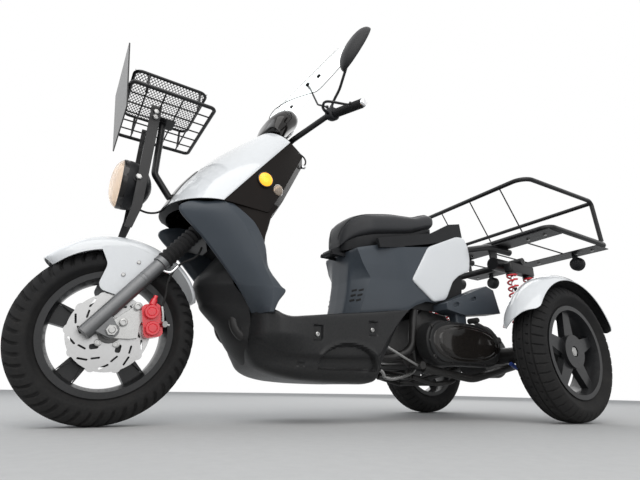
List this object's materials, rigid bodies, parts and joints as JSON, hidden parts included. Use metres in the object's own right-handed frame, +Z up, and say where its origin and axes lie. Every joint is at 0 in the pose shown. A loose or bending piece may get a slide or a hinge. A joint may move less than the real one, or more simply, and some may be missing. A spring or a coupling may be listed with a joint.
{
  "type": "cargo trike scooter",
  "caption": "Step-through cargo scooter with one steered front wheel and a wide rear axle, a hinged seat over a tub, a railed rear rack, a front carrier and a clear windscreen.",
  "frame": {"origin": "on the ground, in the middle of the overall length and width", "axes": "+X forwards, +Y to the rider's left, +Z up"},
  "size_m": [2.3364, 0.912, 1.5689],
  "materials": {
    "amber": "amber lens",
    "black_frame": "semi-gloss black paint",
    "black_plastic": "satin black",
    "black_rim": "satin black",
    "cast_alloy": "cast",
    "clear_screen": "clear",
    "dark_panel": "satin dark grey",
    "fork_grey": "satin grey",
    "gloss_black": "gloss black",
    "lamp_lens": "pressed lens",
    "red_paint": "gloss red",
    "rubber": "dull",
    "seat_vinyl": "grained dark grey vinyl",
    "steel": "bare",
    "tyre": "dull",
    "white_panel": "gloss white"
  },
  "bodies": {
    "chassis": {"main_frame": "black_frame", "front_cowl": "white_panel", "inner_cowl": "gloss_black", "front_indicators": "amber", "leg_shield": "dark_panel", "fork_well": "black_plastic", "floor_board": "dark_panel", "seat_cover": "dark_panel", "storage_tub": "black_plastic", "side_panels": "white_panel", "grab_rail": "black_plastic", "engine_block": "cast_alloy", "transmission_case": "gloss_black", "air_filter_box": "dark_panel", "exhaust": "black_frame", "rear_axle_unit": "black_frame", "centre_stand": "black_frame", "shock_absorbers": "red_paint", "rear_fenders": "white_panel", "rack_frame": "black_frame", "rack_plates": "black_frame", "rack_guard": "black_frame", "rear_lamps": "black_plastic", "front_carrier": "black_frame", "mesh_deck": "black_frame", "front_plate": "black_frame", "carrier_stay": "black_frame", "headlight_housing": "gloss_black", "headlight_lens": "lamp_lens", "lamp_bracket": "black_frame"},
    "steering": {"fork": "steel", "fork_legs": "fork_grey", "fork_gaiters": "rubber", "front_axle": "steel", "caliper_bracket": "steel", "brake_caliper": "red_paint", "front_fender": "white_panel", "handlebar": "black_frame", "grips": "rubber", "switch_housings": "black_plastic", "mirrors": "black_plastic", "instrument_hood": "gloss_black", "windscreen": "clear_screen", "screen_stays": "black_frame"},
    "front_wheel": {"front_tyre": "tyre", "front_rim": "black_rim", "brake_disc": "steel"},
    "rear_wheel_left": {"rear_tyre_left": "tyre", "rear_rim_left": "black_rim", "rear_shaft_left": "steel"},
    "rear_wheel_right": {"rear_tyre_right": "tyre", "rear_rim_right": "black_rim", "rear_shaft_right": "steel"},
    "seat": {"seat_base": "black_plastic", "seat_cushion": "seat_vinyl"}
  },
  "joints": [
    {"name": "steering", "type": "hinge", "parent": "chassis", "child": "steering", "pos_m": [0.93729, 0, 0.24078], "axis": [-0.6115, 0, 0.7912], "range_deg": [-38, 38]},
    {"name": "front_wheel_spin", "type": "hinge", "parent": "steering", "child": "front_wheel", "pos_m": [0.93175, 0, 0.2365], "axis": [0, 1, 0], "continuous": true},
    {"name": "rear_wheel_left_spin", "type": "hinge", "parent": "chassis", "child": "rear_wheel_left", "pos_m": [-0.64225, 0.38, 0.254], "axis": [0, 1, 0], "continuous": true},
    {"name": "rear_wheel_right_spin", "type": "hinge", "parent": "chassis", "child": "rear_wheel_right", "pos_m": [-0.64225, -0.38, 0.254], "axis": [0, 1, 0], "continuous": true},
    {"name": "seat_hinge", "type": "hinge", "parent": "chassis", "child": "seat", "pos_m": [0.20975, 0, 0.6], "axis": [0, 1, 0], "range_deg": [0, 60]}
  ]
}
